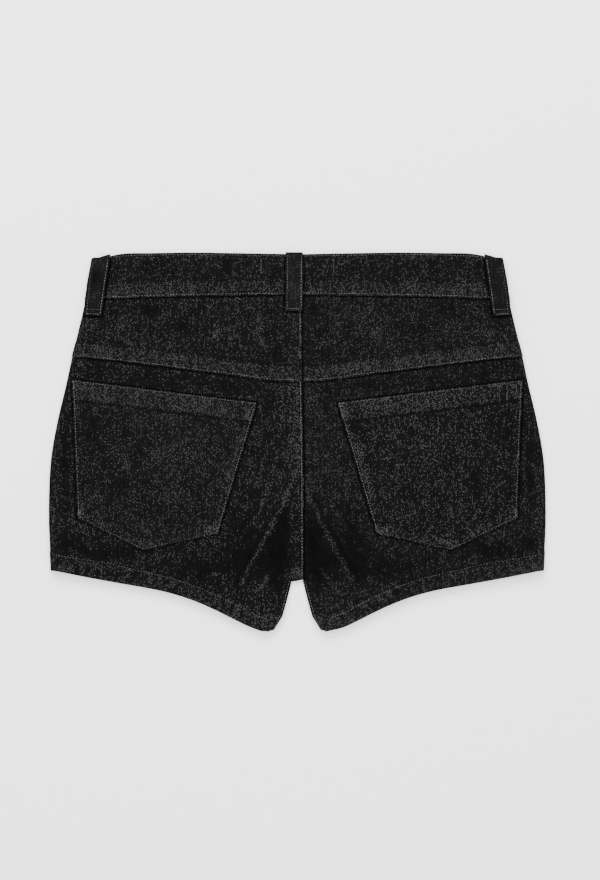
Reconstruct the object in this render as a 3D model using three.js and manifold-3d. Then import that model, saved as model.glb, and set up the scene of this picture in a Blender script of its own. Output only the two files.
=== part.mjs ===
// Short denim shorts, laid out flat on their front with the back uppermost.
// The cloth is two layers that meet in a soft fold down each side: the back layer, of a yoke, a leg panel and a patch
// pocket on each side, wraps round that fold to a side seam underneath, and the front panels lie flat below it.
// One long waistband goes all the way round, buttoned at the front, with five belt loops on it.
// Sizes are in millimetres. X runs across the garment, Y from the hems to the waist and Z up from the table.
import * as THREE from 'three';
import Module from 'manifold-3d';
import { mergeVertices } from 'three/addons/utils/BufferGeometryUtils.js';

const wasm = await Module();
wasm.setup();

// The cloth and how it is layered.
const CLOTH = 1.1; // one layer of denim
const GAP = 0.3; // between pieces that are sewn together or lie on each other
const HEM_THICKNESS = 2.2; // the hem is turned up twice
const BAND_THICKNESS = 2.4; // the waistband is folded double over its seam allowances
const LOOP_THICKNESS = 1.4;
const UNDERLAP = 16; // how far the back layer reaches round the side fold, to the side seam

// Raised seams on the outside of the back.
const HEM_DEPTH = 14.5;
const HEM_END_DEPTH = 11.5; // at the inside leg
const HEM_RAISE = 0.45;
const FELL_WIDTH = 11.5; // the centre seam's flat fell
const FELL_RAISE = 0.8;
const YOKE_FELL_WIDTH = 10.5;
const POCKET_HEM_DEPTH = 16.2;
const POCKET_HEM_RAISE = 0.7;
const BAND_SEAM_DEPTH = 12; // the allowances inside the waistband's lower edge
const BAND_SEAM_RAISE = 0.35;
const STEP = 1.3; // how wide the slope at the edge of a raised seam is

// The garment's outline, for the half at X above 0. The other half is its mirror image.
const SIDE_EDGE = [
  { y: -112.0, x: 208.6 },
  { y: -109.3, x: 209.6 },
  { y: -104.0, x: 210.8 },
  { y: -94.6, x: 210.4 },
  { y: -69.6, x: 211.3 },
  { y: -46.8, x: 211.2 },
  { y: -13.4, x: 209.4 },
  { y: 18.4, x: 203.8 },
  { y: 50.3, x: 196.2 },
  { y: 73.1, x: 191.4 },
  { y: 94.4, x: 186.2 },
  { y: 119.4, x: 180.5 },
  { y: 130.8, x: 179.0 },
  { y: 154.6, x: 175.4 },
  { y: 162.0, x: 174.4 },
];
const HEM_LINE = [
  { x: 20.0, y: -159.6 },
  { x: 25.0, y: -161.0 },
  { x: 38.3, y: -157.9 },
  { x: 51.9, y: -151.6 },
  { x: 67.1, y: -144.0 },
  { x: 91.4, y: -133.6 },
  { x: 112.6, y: -127.4 },
  { x: 143.0, y: -121.8 },
  { x: 176.4, y: -115.9 },
  { x: 199.2, y: -111.4 },
  { x: 210.0, y: -109.2 },
];
const LEG_EDGE = [
  { y: -159.6, x: 20.0 },
  { y: -156.0, x: 16.3 },
  { y: -147.0, x: 12.4 },
  { y: -137.0, x: 9.5 },
  { y: -127.2, x: 7.0 },
  { y: -117.4, x: 4.6 },
];
const CROTCH_Y = -117.4;
const LEG_CORNER = LEG_EDGE[0];

// Seams across the back, by their distance from the centre.
const YOKE_SEAM = [
  { x: 0.0, y: 51.0 },
  { x: 21.7, y: 51.8 },
  { x: 67.1, y: 57.9 },
  { x: 127.9, y: 65.5 },
  { x: 184.0, y: 71.8 },
  { x: 188.0, y: 72.0 },
];
const BAND_SEAM = [
  { x: 0.0, y: 124.8 },
  { x: 67.1, y: 124.0 },
  { x: 127.9, y: 122.8 },
  { x: 158.0, y: 121.5 },
];
const BAND_TOP = [
  { x: 0.0, y: 159.0 },
  { x: 57.4, y: 160.3 },
  { x: 91.4, y: 160.7 },
  { x: 125.4, y: 160.1 },
  { x: 154.0, y: 159.0 },
  { x: 159.0, y: 157.6 },
  { x: 163.5, y: 156.3 },
  { x: 168.0, y: 154.8 },
];
const SEAM_OFFSET = { top: 3.6, bottom: 5.2, topY: 70, bottomY: -60 }; // of the centre seam, towards +X

// How high the outside of the back layer lies above the table.
const REST_HEIGHT = 4.6;
const SIDE_PUFF = { height: 1.5, reach: 20 };
const CENTRE_PUFF = { height: 1.7, reach: 28, fromY: -95, toY: -35 };
const HEM_PUFF = { height: 1.0, reach: 18 };
const WAIST_PUFF = { height: 3.0, fromY: 48, toY: 104 };
const BUTTON_PUFF = { height: 1.5, reach: 46, fromY: 60, toY: 102 };
const LEG_ROLL = { width: 5, edge: 2.7, hemEdge: 4.6, from: 36, to: 18 }; // down to the inside leg seam

// The largest creases: pulls that fan out from the crotch, and the hollow between them and the centre seam.
const CREASES = [
  { name: 'pull', from: [7, -30], by: [27, -80], to: [48, -130], height: 1.5, width: 6.5 },
  { name: 'pull_trough', from: [16, -22], by: [42, -78], to: [62, -116], height: -0.6, width: 9 },
  { name: 'outer_pull', from: [34, -18], by: [54, -70], to: [72, -104], height: 0.5, width: 9 },
  { name: 'crotch_hollow', from: [14, -58], by: [19, -96], to: [30, -136], height: -1.3, width: 8.5 },
];

// The front, which lies face down.
const FRONT_DIP = 26; // how far the front waist lies below the back one
const FRONT_LIFT = 2.1; // the belt loops hold the front waistband off the table
const FRONT_LIFT_FADE = 62;
const FRONT_HEM_RISE = 3.5; // the front hem lies inside the back one
const FRONT_LEG_INSET = { x: 0.4, y: 1.2 };
const FLY = { edge: 7, fromY: -62, toY: -22 }; // the left front laps over the right

const CAP = { radius: 8.5, height: 2.1, edge: 0.5 };
const SHANK_RADIUS = 2.6;
const BUTTON = { x: -8, fromBandSeam: 17.1 };
const BUTTON_LIFT = 2.5; // of the waistband's end over the button's cap
const BUTTON_LIFT_REACH = 24;
const BAND_LAP = { left: 7, right: -29, rampFrom: 24, rampTo: 9.5 };
const BUTTONHOLE = { length: 19, width: 6.2, fromButton: -4.7, cutFrom: 0.9, cutDepth: 4.2 };

const mix = (a, b, t) => a + (b - a) * t;
const clamp01 = (t) => Math.min(1, Math.max(0, t));
const smooth = (t) => clamp01(t) ** 2 * (3 - 2 * clamp01(t));
const smoothBetween = (from, to, value) => smooth((value - from) / (to - from));
const bell = (distance, reach) => Math.exp(-((distance / reach) ** 2));

// A smooth curve through the rows of a table, as a function from one column to another.
function through(rows, input, output) {
  const xs = rows.map((row) => row[input]);
  const ys = rows.map((row) => row[output]);
  const last = rows.length - 1;
  const secant = (i) => (ys[i + 1] - ys[i]) / (xs[i + 1] - xs[i]);
  const slopes = rows.map((row, i) => {
    if (i === 0) return secant(0);
    if (i === last) return secant(last - 1);
    const before = xs[i] - xs[i - 1];
    const after = xs[i + 1] - xs[i];
    return (secant(i - 1) * after + secant(i) * before) / (before + after);
  });
  return (value) => {
    const x = Math.min(xs[last], Math.max(xs[0], value));
    let i = 0;
    while (i < last - 1 && x > xs[i + 1]) i += 1;
    const span = xs[i + 1] - xs[i];
    const t = (x - xs[i]) / span;
    return (
      ys[i] * (1 + 2 * t) * (1 - t) ** 2 +
      ys[i + 1] * t * t * (3 - 2 * t) +
      slopes[i] * span * t * (1 - t) ** 2 -
      slopes[i + 1] * span * t * t * (1 - t)
    );
  };
}

const sideEdge = through(SIDE_EDGE, 'y', 'x');
const hemLine = through(HEM_LINE, 'x', 'y');
const legEdge = through(LEG_EDGE, 'y', 'x');
const yokeSeam = through(YOKE_SEAM, 'x', 'y');
const bandSeam = through(BAND_SEAM, 'x', 'y');
const bandTop = through(BAND_TOP, 'x', 'y');
const seamX = (y) =>
  mix(SEAM_OFFSET.bottom, SEAM_OFFSET.top, smoothBetween(SEAM_OFFSET.bottomY, SEAM_OFFSET.topY, y));

// Height of one crease at a place, for either half of the garment.
function crease({ from, by, to, height, width }, x, y) {
  const path = [from, by, to].map(([px, py]) => new THREE.Vector2(px, py));
  const here = new THREE.Vector2(Math.abs(x), y);
  let nearest = Infinity;
  let along = 0;
  for (let i = 0; i < 2; i += 1) {
    const leg = path[i + 1].clone().sub(path[i]);
    const t = clamp01(here.clone().sub(path[i]).dot(leg) / leg.lengthSq());
    const distance = path[i].clone().addScaledVector(leg, t).distanceTo(here);
    if (distance < nearest) {
      nearest = distance;
      along = (i + t) / 2;
    }
  }
  return height * bell(nearest, width) * smooth(4 * along) * smooth(4 * (1 - along));
}

// How far a place is from the inside leg edge or from the bottom of the crotch.
function legDistance(m, y) {
  if (y <= CROTCH_Y) return m - legEdge(y);
  return Math.hypot(Math.max(0, m - legEdge(CROTCH_Y)), y - CROTCH_Y);
}

// Height of the back layer's outside. x is signed, and half is 1 or -1 for the half that the piece belongs to.
function backHeight(x, y, half = Math.sign(x) || 1) {
  const m = x * half;
  const hem = y - hemLine(Math.abs(x));
  let height = REST_HEIGHT;
  height += SIDE_PUFF.height * bell(sideEdge(y) - Math.abs(x), SIDE_PUFF.reach);
  height += CENTRE_PUFF.height * bell(x, CENTRE_PUFF.reach) * smoothBetween(CENTRE_PUFF.fromY, CENTRE_PUFF.toY, y);
  height += HEM_PUFF.height * bell(Math.max(0, hem - HEM_DEPTH), HEM_PUFF.reach);
  height += WAIST_PUFF.height * smoothBetween(WAIST_PUFF.fromY, WAIST_PUFF.toY, y);
  height += BUTTON_PUFF.height * bell(x, BUTTON_PUFF.reach) * smoothBetween(BUTTON_PUFF.fromY, BUTTON_PUFF.toY, y);
  height += CREASES.reduce((sum, row) => sum + crease(row, x, y), 0);
  const edge = mix(LEG_ROLL.edge, LEG_ROLL.hemEdge, smoothBetween(LEG_ROLL.from, LEG_ROLL.to, hem));
  const roll = Math.sin((Math.PI / 2) * clamp01(legDistance(m, y) / LEG_ROLL.width));
  return mix(edge, height, roll);
}

// The side fold is a half round as high as the layer, so its radius is half that height.
function foldAt(y, edge, raise) {
  let radius = REST_HEIGHT / 2;
  for (let i = 0; i < 6; i += 1) radius = (backHeight(edge - radius, y) + raise) / 2;
  return { radius, start: edge - radius };
}

// A point on the outside of the back layer. turn runs from 0 to 1 round the side fold and from 1 to 2 along the
// underlap; for a point on top it is 0 and m is its distance from the centre line.
function skin(half, m, y, turn = 0, { inset = 0, raise = 0, underlap = UNDERLAP } = {}) {
  const { radius, start } = foldAt(y, sideEdge(y) - inset, raise);
  if (turn <= 0) return new THREE.Vector3(half * m, y, backHeight(half * m, y, half) + raise);
  if (turn > 1) return new THREE.Vector3(half * (start - (turn - 1) * underlap), y, 0);
  const angle = turn * Math.PI;
  return new THREE.Vector3(half * (start + radius * Math.sin(angle)), y, radius * (1 + Math.cos(angle)));
}

// A closed wall of cloth over a grid. place gives its base, outward is the side of the base that is the outside,
// proud is how far the outside stands off the base and depth how far the inside lies behind it. normalAt, where it
// gives one, is the way out of the base.
function wall({ us, vs, place, outward, proud, depth, normalAt = () => null }) {
  const nudge = 1e-3;
  const outside = [];
  const inside = [];
  for (const v of vs) {
    for (const u of us) {
      const lowU = Math.max(us[0], u - nudge);
      const highU = Math.min(us.at(-1), u + nudge);
      const lowV = Math.max(vs[0], v - nudge);
      const highV = Math.min(vs.at(-1), v + nudge);
      const alongU = place(highU, v).sub(place(lowU, v));
      const alongV = place(u, highV).sub(place(u, lowV));
      const normal = normalAt(u, v) ?? alongU.cross(alongV).normalize().multiplyScalar(outward);
      const base = place(u, v);
      outside.push(base.clone().addScaledVector(normal, proud(u, v)));
      inside.push(base.clone().addScaledVector(normal, -depth(u, v)));
    }
  }
  const columns = us.length;
  const rows = vs.length;
  const second = outside.length;
  const index = [];
  const quad = (a, b, c, d) => index.push(a, b, c, a, c, d);
  for (let j = 0; j < rows - 1; j += 1) {
    for (let i = 0; i < columns - 1; i += 1) {
      const a = j * columns + i;
      quad(a, a + 1, a + columns + 1, a + columns);
      quad(second + a, second + a + columns, second + a + columns + 1, second + a + 1);
    }
  }
  for (let i = 0; i < columns - 1; i += 1) {
    const top = (rows - 1) * columns + i;
    quad(i, second + i, second + i + 1, i + 1);
    quad(top, top + 1, second + top + 1, second + top);
  }
  for (let j = 0; j < rows - 1; j += 1) {
    const left = j * columns;
    const right = left + columns - 1;
    quad(left, left + columns, second + left + columns, second + left);
    quad(right, second + right, second + right + columns, right + columns);
  }
  const geometry = new THREE.BufferGeometry().setFromPoints([...outside, ...inside]);
  geometry.setIndex(outward > 0 ? index : index.reverse());
  return geometry;
}

const steps = (count, from = 0, to = 1) =>
  Array.from({ length: count + 1 }, (_, i) => mix(from, to, i / count));
const sorted = (...lists) => [...new Set(lists.flat())].sort((a, b) => a - b);

// A four-sided patch between boundary curves, each a function of a share from 0 to 1.
function patch({ bottom, top, inner, outer }) {
  return (u, v) => {
    const point = new THREE.Vector2();
    point.addScaledVector(inner(v), 1 - u).addScaledVector(outer(v), u);
    point.addScaledVector(bottom(u), 1 - v).addScaledVector(top(u), v);
    point.addScaledVector(bottom(0), -(1 - u) * (1 - v)).addScaledVector(bottom(1), -u * (1 - v));
    return point.addScaledVector(top(0), -(1 - u) * v).addScaledVector(top(1), -u * v);
  };
}

// Rows on either side of v = BAND_ROW stand for a raised strip of a fixed depth along the bottom of a patch.
const BAND_ROW = 0.1;
function stripShare(v, stripDepth, length) {
  const share = stripDepth / length;
  return v <= BAND_ROW ? (v / BAND_ROW) * share : mix(share, 1, (v - BAND_ROW) / (1 - BAND_ROW));
}
function rowAt(share, stripDepth, length) {
  return mix(BAND_ROW, 1, (share - stripDepth / length) / (1 - stripDepth / length));
}

const FOLD_TURNS = [0.2, 0.4, 0.6, 0.8, 1];
const WRAP_COLUMNS = [...FOLD_TURNS, 2].map((turn) => 1 + turn);
const ON_TOP = 1; // columns up to here lie on top, and those past it go round the side fold
const fadeUnder = (u) => 1 - clamp01(u - ON_TOP); // raised seams sink to nothing round the side fold

// How the inner boundary of a leg panel climbs: up the inside leg to the crotch, then up the centre seam.
const CROTCH_SHARE = 0.2;
const CROTCH_JOG = 0.0014;
function innerBoundary(v, seam, topY) {
  const climb = (v - CROTCH_SHARE) / (1 - CROTCH_SHARE);
  const y = v < CROTCH_SHARE ? mix(LEG_CORNER.y, CROTCH_Y, v / CROTCH_SHARE) : mix(CROTCH_Y, topY, climb);
  const jog = clamp01((v - CROTCH_SHARE + CROTCH_JOG) / (2 * CROTCH_JOG));
  return new THREE.Vector2(mix(legEdge(Math.min(y, CROTCH_Y)), seam(Math.max(y, CROTCH_Y)), jog), y);
}

// The centre seam's edge, as seen from one half. The left half laps over it.
const centreEdge = (half) => (y) => (half < 0 ? -seamX(y) : seamX(y) + GAP);

function backPanel(half) {
  const hemCornerY = SIDE_EDGE[1].y;
  const yokeSideY = YOKE_SEAM.at(-1).y;
  const seam = centreEdge(half);
  const centreTopY = yokeSeam(0);
  const hemEnd = foldAt(hemCornerY, sideEdge(hemCornerY), 0).start;
  const yokeEnd = foldAt(yokeSideY, sideEdge(yokeSideY), 0).start;
  const outerY = (v) => mix(hemCornerY, yokeSideY, v);
  const flat = patch({
    bottom: (u) => {
      const x = mix(LEG_CORNER.x, hemEnd, u);
      return new THREE.Vector2(x, mix(LEG_CORNER.y, hemLine(x), smooth(u * 41)));
    },
    top: (u) => {
      const x = mix(seam(centreTopY), yokeEnd, u);
      return new THREE.Vector2(x, yokeSeam(Math.abs(x)));
    },
    inner: (v) => innerBoundary(v, seam, centreTopY),
    outer: (v) => new THREE.Vector2(foldAt(outerY(v), sideEdge(outerY(v)), 0).start, outerY(v)),
  });
  const width = 205;
  const length = { centre: 211, side: 181 };
  const hemDepth = (u) => mix(HEM_END_DEPTH, HEM_DEPTH, smooth(u * 4));
  const shareAt = (u, v) => stripShare(v, hemDepth(u), mix(length.centre, length.side, clamp01(u)));
  const fellColumns = half < 0 ? [FELL_WIDTH / width, (FELL_WIDTH + STEP) / width] : [];
  const hemRow = BAND_ROW;
  const across = [0, 1.5, 5, 19, 26, 33, 40, 47, 55, 64, 75, 87, 99, 111, 123, 135, 147, 159, 171, 182, 193];
  const up = [22, 29, 36, 49, 57, 65, 73, 81, 90, 100, 111, 122, 133, 144, 155, 166, 177, 188, 199, length.centre];
  const jog = [CROTCH_SHARE - CROTCH_JOG, CROTCH_SHARE + CROTCH_JOG];
  const rows = [...up.map((distance) => distance / length.centre), ...jog];
  return {
    us: sorted(across.map((x) => x / width), fellColumns, [ON_TOP], WRAP_COLUMNS),
    vs: sorted([0, hemRow, hemRow + STEP / 200], rows.map((share) => rowAt(share, HEM_END_DEPTH, length.centre))),
    outward: half,
    place: (u, v) => {
      const share = shareAt(u, v);
      if (u > ON_TOP) return skin(half, 0, outerY(share), u - ON_TOP);
      const at = flat(u, share);
      return skin(half, at.x, at.y);
    },
    normalAt: (u, v) => {
      if (u > ON_TOP) return null;
      const at = flat(u, shareAt(u, v));
      const nudge = 0.05;
      const height = (dx, dy) => backHeight(half * at.x + dx, at.y + dy, half);
      const slopeX = (height(nudge, 0) - height(-nudge, 0)) / (2 * nudge);
      const slopeY = (height(0, nudge) - height(0, -nudge)) / (2 * nudge);
      return new THREE.Vector3(-slopeX, -slopeY, 1).normalize();
    },
    proud: (u, v) => {
      const fell = half < 0 && u <= fellColumns[0] + 1e-6 ? FELL_RAISE : 0;
      const y = flat(clamp01(u), shareAt(u, v)).y;
      const hem = v <= hemRow ? HEM_RAISE : 0;
      return fell * smoothBetween(CROTCH_Y, CROTCH_Y + 14, y) + hem * fadeUnder(u);
    },
    depth: (u, v) => (v <= hemRow ? HEM_THICKNESS - HEM_RAISE * fadeUnder(u) : CLOTH),
  };
}

function yoke(half) {
  const seam = centreEdge(half);
  const width = 185;
  const corner = (u, line, shift) => {
    const sideY = line(200) + shift;
    const x = mix(seam(sideY), foldAt(sideY, sideEdge(sideY), 0).start, clamp01(u));
    return new THREE.Vector2(x, line(Math.abs(x)) + shift);
  };
  const between = (u, v) => {
    const low = corner(u, yokeSeam, GAP);
    const high = corner(u, bandSeam, -GAP);
    return low.lerp(high, stripShare(v, YOKE_FELL_WIDTH, high.y - low.y));
  };
  // Each row ends exactly where the side fold starts.
  const at = (u, v) => {
    const point = between(u, v);
    const end = between(ON_TOP, v);
    point.x += clamp01(u) * (foldAt(end.y, sideEdge(end.y), 0).start - end.x);
    return point;
  };
  const fellColumns = [FELL_WIDTH / width, (FELL_WIDTH + STEP) / width];
  const fellRow = BAND_ROW;
  return {
    us: sorted([0, 5 / width], fellColumns, steps(14, 21 / width, ON_TOP), WRAP_COLUMNS),
    vs: sorted([0, fellRow, fellRow + 0.025], steps(5, 0.26, 1)),
    outward: half,
    place: (u, v) => {
      const point = at(u, v);
      return skin(half, point.x, point.y, u - ON_TOP);
    },
    proud: (u, v) => {
      const centre = half < 0 && u <= fellColumns[0] + 1e-6 ? FELL_RAISE : 0;
      const low = v <= fellRow ? FELL_RAISE * fadeUnder(u) : 0;
      return Math.max(centre, low) + 0.5 * Math.min(centre, low);
    },
    depth: () => CLOTH,
  };
}

// The patch pocket, by its corners. Its lower edge comes to a blunt point.
const POCKET = {
  outerTop: [191.2, 53.0],
  innerTop: [34.0, 33.4],
  innerBottom: [67.2, -78.0],
  tip: [131.0, -92.0],
  outerBottom: [186.8, -64.8],
  tipShare: 0.53,
};

function pocket(half) {
  const { outerTop, innerTop, innerBottom, tip, outerBottom, tipShare } = POCKET;
  const corner = ([x, y]) => new THREE.Vector2(x, y);
  const low = (u) =>
    u < tipShare
      ? corner(innerBottom).lerp(corner(tip), u / tipShare)
      : corner(tip).lerp(corner(outerBottom), (u - tipShare) / (1 - tipShare));
  const high = (u) => corner(innerTop).lerp(corner(outerTop), u);
  const at = (u, v) => {
    const top = high(u);
    const bottom = low(u);
    return top.lerp(bottom, stripShare(v, POCKET_HEM_DEPTH, top.y - bottom.y));
  };
  const hemRow = BAND_ROW;
  const stands = GAP + CLOTH;
  return {
    us: sorted(steps(14), [tipShare]),
    vs: sorted([0, hemRow, hemRow + 0.011], steps(10, 0.19, 1)),
    outward: -half,
    place: (u, v) => {
      const point = at(u, v);
      return skin(half, point.x, point.y);
    },
    proud: (u, v) => stands + (v <= hemRow ? POCKET_HEM_RAISE : 0),
    depth: () => -GAP,
  };
}

// Height of the front layer's outside, which faces the table.
function frontHeight(x, y) {
  const inFromFold = smoothBetween(30, 72, sideEdge(y) - Math.abs(x));
  const belowBand = frontBandSeam(Math.abs(x)) - y;
  const lift = FRONT_LIFT + (BUTTON_LIFT - FRONT_LIFT) * bell(x - BUTTON.x, BUTTON_LIFT_REACH);
  return lift * inFromFold * (1 - smooth(belowBand / FRONT_LIFT_FADE));
}
const frontDip = (m) => FRONT_DIP * smooth(1 - m / 165);
const frontBandSeam = (m) => bandSeam(m) - frontDip(m);
const frontBandTop = (m) => bandTop(Math.min(m, 176)) - frontDip(m);
const flyEdge = (y) => FLY.edge * smoothBetween(FLY.fromY, FLY.toY, y);

function frontPanel(half) {
  const hemCornerY = SIDE_EDGE[1].y;
  const outerX = (y) => foldAt(y, sideEdge(y), 0).start - UNDERLAP - GAP;
  const seam = (y) => (half < 0 ? flyEdge(y) * half : flyEdge(y) + GAP);
  const centreTopY = frontBandSeam(0) - GAP;
  const sideTopY = frontBandSeam(outerX(bandSeam(200))) - GAP;
  const hemEnd = outerX(hemCornerY);
  const outerY = (v) => mix(hemCornerY, sideTopY, v);
  const flat = patch({
    bottom: (u) => {
      const x = mix(LEG_CORNER.x + FRONT_LEG_INSET.x, hemEnd, u);
      const y = mix(hemLine(x) + FRONT_HEM_RISE, hemCornerY, smoothBetween(150, hemEnd, x));
      return new THREE.Vector2(x, mix(LEG_CORNER.y + FRONT_LEG_INSET.y, y, smooth(u * 12)));
    },
    top: (u) => {
      const x = mix(seam(centreTopY), outerX(sideTopY), u);
      return new THREE.Vector2(x, frontBandSeam(Math.abs(x)) - GAP);
    },
    inner: (v) => {
      const inset = new THREE.Vector2(FRONT_LEG_INSET.x, FRONT_LEG_INSET.y * (1 - v));
      return innerBoundary(v, seam, centreTopY).add(inset);
    },
    outer: (v) => new THREE.Vector2(outerX(outerY(v)), outerY(v)),
  });
  const length = { centre: 258, side: 229 };
  const shareAt = (u, v) => stripShare(v, HEM_DEPTH, mix(length.centre, length.side, u));
  const hemRow = BAND_ROW;
  const jogShares = [CROTCH_SHARE - CROTCH_JOG, CROTCH_SHARE + CROTCH_JOG];
  const jog = jogShares.map((share) => rowAt(share, HEM_DEPTH, length.centre));
  return {
    us: sorted([0, 0.05], steps(11, 0.12, 1)),
    vs: sorted([0, hemRow, hemRow + 0.006], jog, steps(13, 0.25, 1)),
    outward: -half,
    place: (u, v) => {
      const at = flat(u, shareAt(u, v));
      return new THREE.Vector3(half * at.x, at.y, frontHeight(half * at.x, at.y));
    },
    proud: () => 0,
    depth: (u, v) => (v <= hemRow ? HEM_THICKNESS : CLOTH),
  };
}

// The waistband is one strip. Its stations run along it from the end under the button, out along the front,
// round the right fold, across the back, round the left fold and back to the end with the buttonhole.
const BAND_INSET = 1.9; // the side loops make the outline there
const BAND_RAISE = 1.0; // over the yokes
const BAND_SKIN = { inset: BAND_INSET, raise: BAND_RAISE, underlap: 0 };

// How high the outside of the front stretch lies: over the loops and the button, and the right end over the left one.
function frontBandLift(half, m, y) {
  const x = half * m;
  const inFromFold = smoothBetween(6, 46, sideEdge(y) - BAND_INSET - m);
  const lift = (FRONT_LIFT + (BUTTON_LIFT - FRONT_LIFT) * bell(x - BUTTON.x, BUTTON_LIFT_REACH)) * inFromFold;
  if (half < 0) return lift;
  const over = BUTTON_LIFT + BAND_THICKNESS + GAP;
  return mix(over, lift, smoothBetween(BAND_LAP.rampTo, BAND_LAP.rampFrom, x));
}

function bandPoint(station, v) {
  const half = station < 0 ? -1 : 1;
  const s = Math.abs(station);
  const foldY = mix(bandSeam(200), bandTop(200), v);
  const { start } = foldAt(foldY, sideEdge(foldY) - BAND_INSET, BAND_RAISE);
  if (s <= 1) {
    const x = start * s;
    return skin(half, x, mix(bandSeam(x), bandTop(x), v), 0, BAND_SKIN);
  }
  if (s <= 2) return skin(half, 0, foldY, s - 1, BAND_SKIN);
  const end = half < 0 ? -BAND_LAP.left : BAND_LAP.right;
  const m = mix(start, end, s - 2);
  const y = mix(frontBandSeam(Math.abs(m)), frontBandTop(Math.abs(m)), v);
  return new THREE.Vector3(half * m, y, frontBandLift(half, m, y));
}

function waistband() {
  const seamShare = BAND_SEAM_DEPTH / 35;
  const frontStations = [...steps(10, 2, 2.78), 2.83, 2.88, 2.92, 3];
  const halfStations = [...steps(15, 0, 1), ...FOLD_TURNS.map((turn) => 1 + turn), ...frontStations];
  const strip = wall({
    us: sorted(halfStations, halfStations.map((s) => (s ? -s : 0))),
    vs: [0, seamShare, seamShare + STEP / 35, 0.68, 1],
    outward: 1,
    place: bandPoint,
    proud: (s, v) => (v <= seamShare ? BAND_SEAM_RAISE * (1 - clamp01(Math.abs(s) - 1)) : 0),
    depth: () => BAND_THICKNESS,
  });
  const slotY = frontBandSeam(0) + BUTTON.fromBandSeam;
  const slot = new THREE.Shape();
  const reach = BUTTONHOLE.length / 2 - BUTTONHOLE.width / 2;
  slot.absarc(-reach, 0, BUTTONHOLE.width / 2, Math.PI / 2, (3 * Math.PI) / 2);
  slot.absarc(reach, 0, BUTTONHOLE.width / 2, -Math.PI / 2, Math.PI / 2);
  const punch = { depth: BUTTONHOLE.cutDepth, bevelEnabled: false, curveSegments: 6 };
  const cutter = new THREE.ExtrudeGeometry(slot, punch);
  cutter.translate(BUTTON.x + BUTTONHOLE.fromButton, slotY, BUTTONHOLE.cutFrom);
  return fromSolid(toSolid(strip).subtract(toSolid(cutter)));
}

// three.js geometry to a manifold solid and back.
function toSolid(geometry) {
  const bare = geometry.clone();
  bare.deleteAttribute('normal');
  bare.deleteAttribute('uv');
  const merged = mergeVertices(bare, 1e-4);
  const vertProperties = new Float32Array(merged.attributes.position.array);
  const triVerts = new Uint32Array(merged.index.array);
  return new wasm.Manifold(new wasm.Mesh({ numProp: 3, vertProperties, triVerts }));
}
function fromSolid(solid) {
  const { vertProperties, triVerts } = solid.getMesh();
  const geometry = new THREE.BufferGeometry();
  geometry.setAttribute('position', new THREE.BufferAttribute(new Float32Array(vertProperties), 3));
  return geometry.setIndex(new THREE.BufferAttribute(new Uint32Array(triVerts), 1));
}

// Belt loops on the back: a strip from a bar below the waistband, over the waistband and round its top edge.
const LOOP_ARCH = 0.5;
const LOOP_EASE = 0.15; // over the waistband's lower edge
const LOOP_DRAW_IN = 6; // above the yoke, the side loops draw in to the narrower waistband over this length
const BACK_LOOPS = [
  { name: 'belt_loop_centre', half: 1, low: [-9.9, 4.5], lowY: [110.9, 110.9], high: [-9.7, 4.7], columns: 2 },
  { name: 'belt_loop_left', half: -1, low: [166.0, 180.6], lowY: [107.0, 107.6], high: [158.8, 174.9], columns: 7 },
  { name: 'belt_loop_right', half: 1, low: [166.0, 180.6], lowY: [107.0, 107.6], high: [158.8, 174.9], columns: 7 },
];

function backLoop({ half, low, lowY, high, columns }) {
  const onCentreSeam = low[0] < 0;
  const onBand = (m, y) => smoothBetween(bandSeam(Math.abs(m)) - 7, bandSeam(Math.abs(m)) - 0.6, y);
  const standOff = (m, y) => {
    const seam = bandSeam(Math.abs(m));
    const arch = LOOP_ARCH * Math.sin(Math.PI * smoothBetween(seam, bandTop(Math.abs(m)), y));
    const fell = onCentreSeam ? FELL_RAISE * (1 - onBand(m, y)) : 0;
    const allowances = (BAND_SEAM_RAISE + LOOP_EASE) * onBand(m, y) * (1 - smoothBetween(seam + 10, seam + 22, y));
    return GAP + LOOP_THICKNESS + fell + allowances + arch;
  };
  const base = (m, y) => {
    const pastYoke = smoothBetween(bandSeam(Math.abs(m)), bandSeam(Math.abs(m)) + LOOP_DRAW_IN, y);
    const shape = { inset: BAND_INSET * pastYoke, raise: BAND_RAISE * onBand(m, y) };
    const { radius, start } = foldAt(y, sideEdge(y) - shape.inset, shape.raise);
    return skin(half, m, y, (m - start) / (radius * Math.PI), shape);
  };
  const normalAt = (m, y) => {
    const nudge = 0.05;
    const across = base(m + nudge, y).sub(base(m - nudge, y));
    const up = base(m, y + nudge).sub(base(m, y - nudge));
    return across.cross(up).normalize().multiplyScalar(half);
  };
  const turnRadius = GAP + LOOP_THICKNESS;
  return {
    us: steps(columns),
    vs: sorted(steps(7), [1.5, 2, 2.6]),
    outward: half,
    place: (u, v) => {
      const t = clamp01(v);
      const m = mix(mix(low[0], low[1], u), mix(high[0], high[1], u), t);
      const y = mix(mix(lowY[0], lowY[1], u), bandTop(Math.abs(m)), t);
      const normal = normalAt(m, y);
      const point = base(m, y);
      if (v <= 1) return point.addScaledVector(normal, standOff(m, y));
      const angle = (Math.min(v, 2) - 1) * (Math.PI / 2);
      point.y += turnRadius * Math.sin(angle);
      return point.addScaledVector(normal, turnRadius * Math.cos(angle) - 2 * Math.max(0, v - 2));
    },
    proud: () => 0,
    depth: () => LOOP_THICKNESS,
  };
}

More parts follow.
